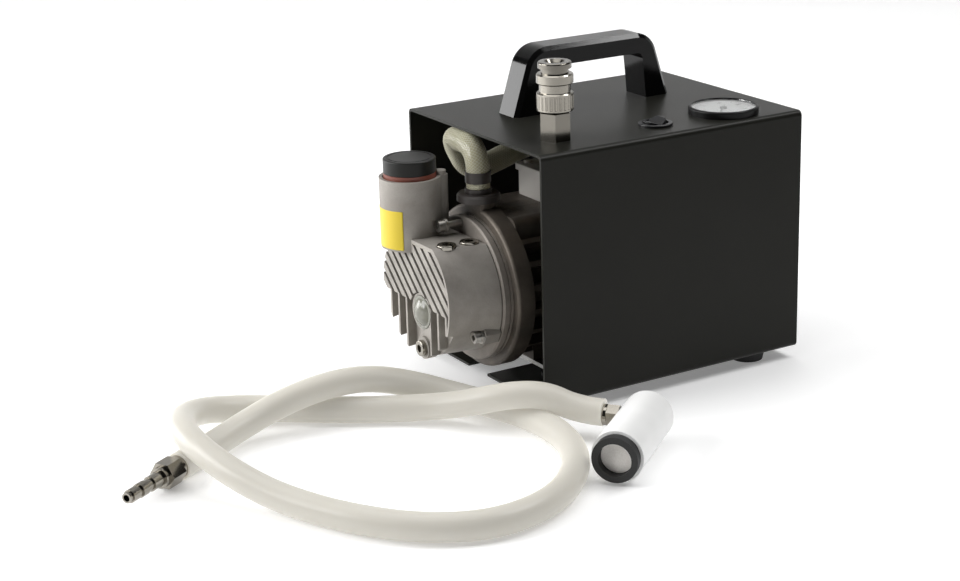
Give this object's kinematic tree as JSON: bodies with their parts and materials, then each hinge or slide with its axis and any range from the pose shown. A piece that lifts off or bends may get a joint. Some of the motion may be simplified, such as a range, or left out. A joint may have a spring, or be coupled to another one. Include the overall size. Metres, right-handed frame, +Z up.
{
  "type": "portable rotary vane vacuum pump",
  "caption": "Portable oil-lubricated vacuum pump in a sheet-metal carry case, with gauge, quick coupler, suction hose and suction head.",
  "frame": {"origin": "on the floor, under the middle of the pump and its case without the hose set", "axes": "+X along the case from the open pump end to the motor end, +Y to the back, +Z up"},
  "size_m": [0.541, 0.3444, 0.25],
  "materials": {
    "case_black": "black powder coat",
    "handle_black": "gloss black",
    "rubber_black": "matt",
    "screw_steel": "bright zinc",
    "bracket_steel": "zinc plated",
    "cast_grey": "cast, fine grain",
    "filter_media": "pleated",
    "ring_orange": "satin",
    "cap_black": "satin",
    "sight_clear": "clear",
    "nickel": "bright nickel",
    "gasket": "paper",
    "cast_iron": "machined",
    "rotor_steel": "ground",
    "carbon": "carbon",
    "seal_rubber": "matt",
    "cast_dark": "bronze-grey paint",
    "core_steel": "laminated",
    "copper": "enamelled",
    "bearing_steel": "polished",
    "fan_plastic": "moulded",
    "cover_steel": "satin",
    "box_grey": "moulded",
    "fitting_dark": "satin",
    "braid_hose": "translucent, braided",
    "brass": "turned",
    "gauge_black": "gloss",
    "dial_white": "printed",
    "pointer_black": "matt",
    "glass_clear": "clear",
    "tube_black": "smooth",
    "switch_black": "satin",
    "silicone": "translucent milky",
    "head_white": "satin white",
    "disc_white": "sintered"
  },
  "bodies": {
    "case": {"case_wrap": "case_black", "carry_handle": "handle_black", "rubber_feet": "rubber_black", "case_screws": "screw_steel", "mount_brackets": "bracket_steel", "rubber_mounts": "rubber_black", "mount_bolts": "screw_steel", "oil_tank": "cast_grey", "filter_element": "filter_media", "filter_ring": "ring_orange", "sight_glass": "sight_clear", "drain_plug": "nickel", "filler_plugs": "nickel", "tank_bolts": "screw_steel", "tank_gasket": "gasket", "pump_flange": "cast_grey", "pump_cylinder": "cast_iron", "end_plate": "cast_iron", "shaft_seal": "seal_rubber", "intake_housing": "cast_dark", "motor_housing": "cast_dark", "stator_core": "core_steel", "windings": "copper", "bearings": "bearing_steel", "rear_shield": "cast_dark", "fan_cover": "cover_steel", "terminal_box": "box_grey", "terminal_lid": "box_grey", "lid_screws": "screw_steel", "cable_gland": "cap_black", "inlet_fitting": "fitting_dark", "braided_hose": "braid_hose", "hose_clamps": "screw_steel", "coupler_body": "nickel", "coupler_nut": "nickel", "coupler_tee": "brass", "gauge_case": "gauge_black", "gauge_movement": "brass", "gauge_dial": "dial_white", "gauge_glass": "glass_clear", "gauge_elbow": "brass", "gauge_tube": "tube_black", "switch_case": "switch_black", "suction_hose": "silicone", "hose_plug": "nickel", "head_body": "head_white", "head_ring": "seal_rubber", "head_disc": "disc_white", "head_fitting": "nickel"},
    "rotating_group": {"motor_shaft": "rotor_steel", "rotor_core": "core_steel", "pump_rotor": "rotor_steel", "vanes": "carbon", "cooling_fan": "fan_plastic"},
    "filter_cap": {"filter_cap": "cap_black"},
    "coupler_sleeve": {"coupler_sleeve": "nickel"},
    "coupler_poppet": {"coupler_poppet": "nickel"},
    "gauge_pointer": {"gauge_pointer": "pointer_black"},
    "switch_rocker": {"rocker": "switch_black"}
  },
  "joints": [
    {"name": "shaft_spin", "type": "hinge", "parent": "case", "child": "rotating_group", "pos_m": [0, -0.006, 0.079], "axis": [1, 0, 0], "continuous": true},
    {"name": "filter_cap_turn", "type": "hinge", "parent": "case", "child": "filter_cap", "pos_m": [-0.1227, 0.0235, 0.165], "axis": [0, 0, 1], "range_deg": [0, 90]},
    {"name": "coupler_sleeve_slide", "type": "slide", "parent": "case", "child": "coupler_sleeve", "axis": [0, 0, 1], "range_m": [0, 0.0035], "stiffness_N_per_m": 900, "springref_m": -0.004},
    {"name": "coupler_poppet_slide", "type": "slide", "parent": "case", "child": "coupler_poppet", "axis": [0, 0, -1], "range_m": [0, 0.005], "stiffness_N_per_m": 500, "springref_m": -0.004},
    {"name": "gauge_pointer_turn", "type": "hinge", "parent": "case", "child": "gauge_pointer", "pos_m": [0.0965, -0.0625, 0.197], "axis": [0, 0, 1], "range_deg": [-270, 0], "stiffness_Nm_per_rad": 0.0005},
    {"name": "switch_rock", "type": "hinge", "parent": "case", "child": "switch_rocker", "pos_m": [0.0335, -0.0645, 0.19], "axis": [0, 1, 0], "range_deg": [0, 16]}
  ]
}
